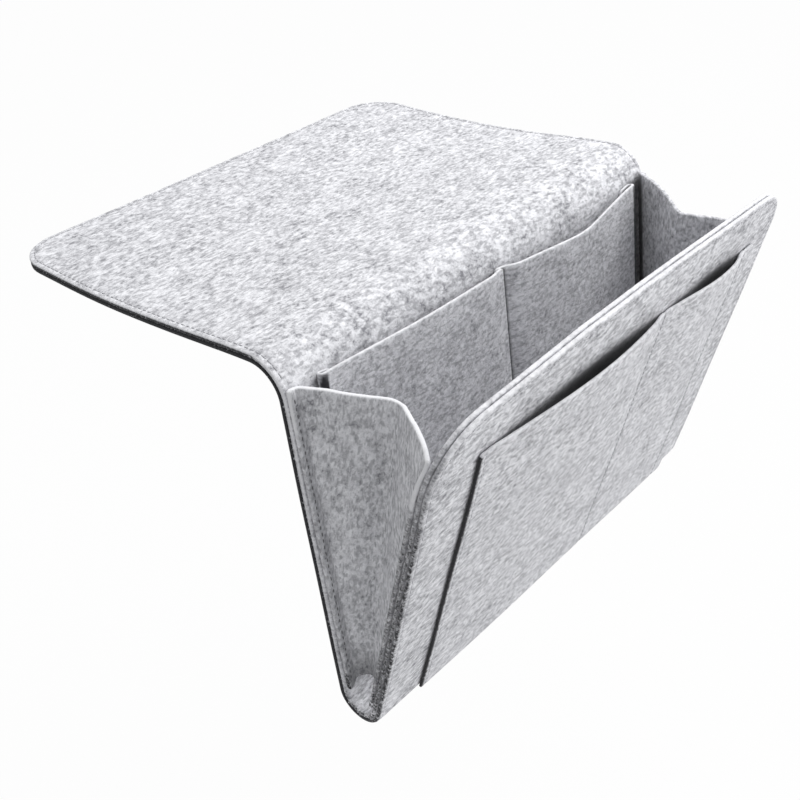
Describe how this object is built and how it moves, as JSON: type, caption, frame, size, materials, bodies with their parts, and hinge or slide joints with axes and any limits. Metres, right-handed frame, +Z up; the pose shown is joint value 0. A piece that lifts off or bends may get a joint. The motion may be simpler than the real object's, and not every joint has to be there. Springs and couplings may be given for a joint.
{
  "type": "bedside caddy",
  "caption": "Felt bedside caddy: a flap tucks under the mattress and carries a hanging pouch with leaning front wall, folding end gussets, inner pockets and a divided front pocket.",
  "frame": {"origin": "middle of the flap's underside, where it rests on the bed base", "axes": "+Z up, +X along the width, the pouch hangs in front at -Y and the flap's free edge is at +Y"},
  "size_m": [0.32, 0.3421, 0.2331],
  "materials": {
    "strip_felt": "light grey melange felt, matt and slightly hairy",
    "gusset_felt": "light grey melange felt, matt and slightly hairy",
    "pocket_felt": "light grey melange felt, matt and slightly hairy"
  },
  "bodies": {
    "flap": {"flap_upper_felt": "strip_felt", "flap_lower_felt": "strip_felt", "flap_bend_upper_felt": "strip_felt", "flap_bend_lower_felt": "strip_felt"},
    "back_wall": {"back_wall_inner_felt": "strip_felt", "back_wall_outer_felt": "strip_felt", "foot_bend_inner_felt": "strip_felt", "foot_bend_outer_felt": "strip_felt", "left_gusset_back_flange": "gusset_felt", "right_gusset_back_flange": "gusset_felt", "left_inner_pocket": "pocket_felt", "right_inner_pocket": "pocket_felt"},
    "front_wall": {"front_wall_inner_felt": "strip_felt", "front_wall_outer_felt": "strip_felt", "left_gusset_front_flange": "gusset_felt", "right_gusset_front_flange": "gusset_felt", "outer_pocket": "pocket_felt"},
    "left_gusset_back": {"left_gusset_back_panel": "gusset_felt", "left_gusset_crease": "gusset_felt"},
    "right_gusset_back": {"right_gusset_back_panel": "gusset_felt", "right_gusset_crease": "gusset_felt"},
    "left_gusset_front": {"left_gusset_front_panel": "gusset_felt"},
    "right_gusset_front": {"right_gusset_front_panel": "gusset_felt"}
  },
  "joints": [
    {"name": "flap_fold", "type": "hinge", "parent": "flap", "child": "back_wall", "pos_m": [0, -0.12449, -0.00093], "axis": [-1, 0, 0], "range_deg": [-15, 87.9], "stiffness_Nm_per_rad": 0.9, "springref_deg": 5.73, "deforming": ["flap_bend_upper_felt", "flap_bend_lower_felt"]},
    {"name": "front_fold", "type": "hinge", "parent": "back_wall", "child": "front_wall", "pos_m": [0, -0.14794, -0.21958], "axis": [-1, 0, 0], "range_deg": [-3, 10], "stiffness_Nm_per_rad": 0.8, "springref_deg": 3.44, "deforming": ["foot_bend_inner_felt", "foot_bend_outer_felt", "left_gusset_crease", "right_gusset_crease"]},
    {"name": "left_gusset_back_fold", "type": "hinge", "parent": "back_wall", "child": "left_gusset_back", "pos_m": [-0.15168, -0.14135, -0.21094], "axis": [0, 0.0366, 0.9993], "range_deg": [-9.1, 30.1]},
    {"name": "right_gusset_back_fold", "type": "hinge", "parent": "back_wall", "child": "right_gusset_back", "pos_m": [0.15168, -0.14135, -0.21094], "axis": [0, -0.0366, -0.9993], "range_deg": [-9.1, 30.1]},
    {"name": "left_gusset_front_fold", "type": "hinge", "parent": "front_wall", "child": "left_gusset_front", "pos_m": [-0.15168, -0.15655, -0.21296], "axis": [0, 0.2957, -0.9553], "range_deg": [-9.1, 30.1]},
    {"name": "right_gusset_front_fold", "type": "hinge", "parent": "front_wall", "child": "right_gusset_front", "pos_m": [0.15168, -0.15655, -0.21296], "axis": [0, -0.2957, 0.9553], "range_deg": [-9.1, 30.1]}
  ],
  "couplings": [
    {"joint": "left_gusset_back_fold", "follows": "front_fold", "ratio": 3},
    {"joint": "right_gusset_back_fold", "follows": "front_fold", "ratio": 3},
    {"joint": "left_gusset_front_fold", "follows": "front_fold", "ratio": 3},
    {"joint": "right_gusset_front_fold", "follows": "front_fold", "ratio": 3}
  ]
}
